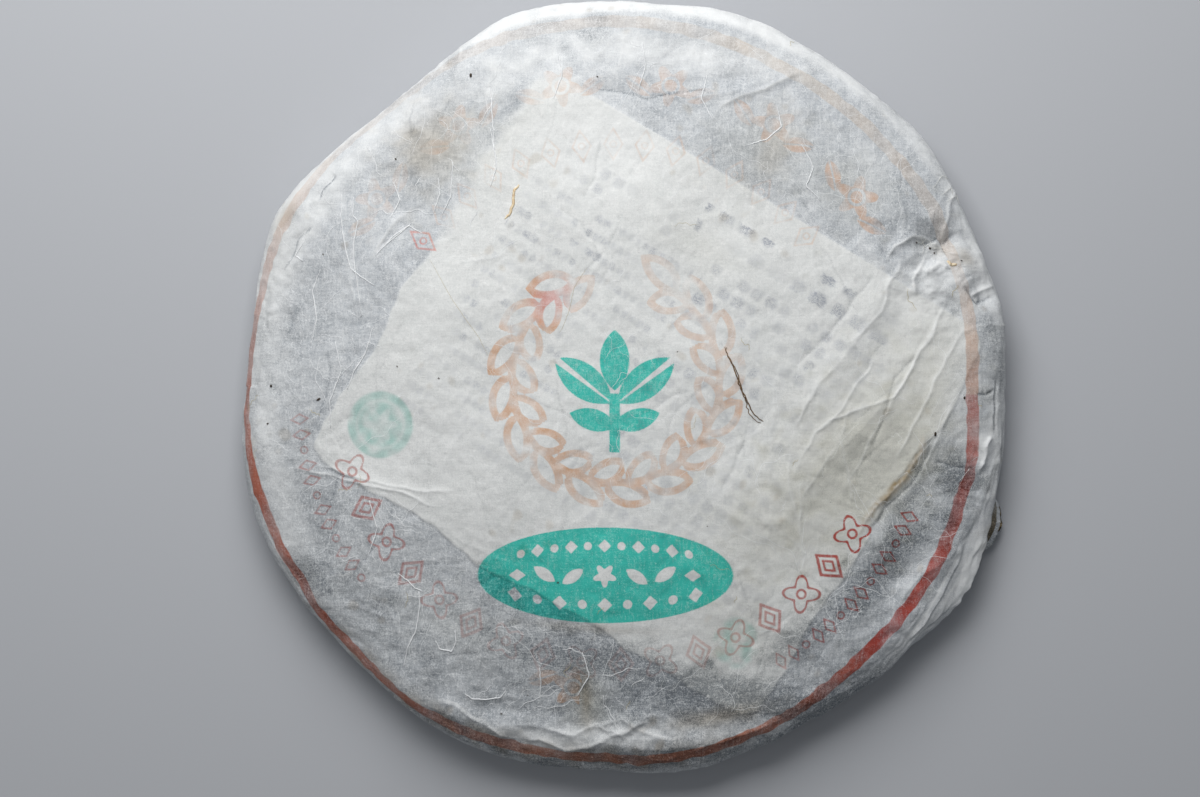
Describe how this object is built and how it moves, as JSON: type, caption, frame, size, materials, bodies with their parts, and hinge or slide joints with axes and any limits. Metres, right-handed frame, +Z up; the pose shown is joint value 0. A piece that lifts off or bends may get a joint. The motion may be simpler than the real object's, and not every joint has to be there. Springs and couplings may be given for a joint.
{
  "type": "pu erh tea cake in a paper wrapper",
  "caption": "Round pressed tea cake shut in a thin printed paper wrapper, domed on its face, with the paper pleated into a dimple in the middle of its back.",
  "frame": {"origin": "middle of the box round the wrapped cake, on the plane that its pleated back rests on", "axes": "+Z up, out of the printed face, across the cake's thickness; +Y towards the top of the print; +X to the right of the print"},
  "size_m": [0.201, 0.2, 0.023],
  "materials": {
    "wrapper_paper": "matte handmade cotton paper, off-white, translucent over the dark leaf, with a faded red ring, a faded orange wreath, green ornaments and a whiter sheet that shows through it"
  },
  "bodies": {
    "root": {"wrapped_tea_cake": "wrapper_paper"}
  },
  "joints": []
}
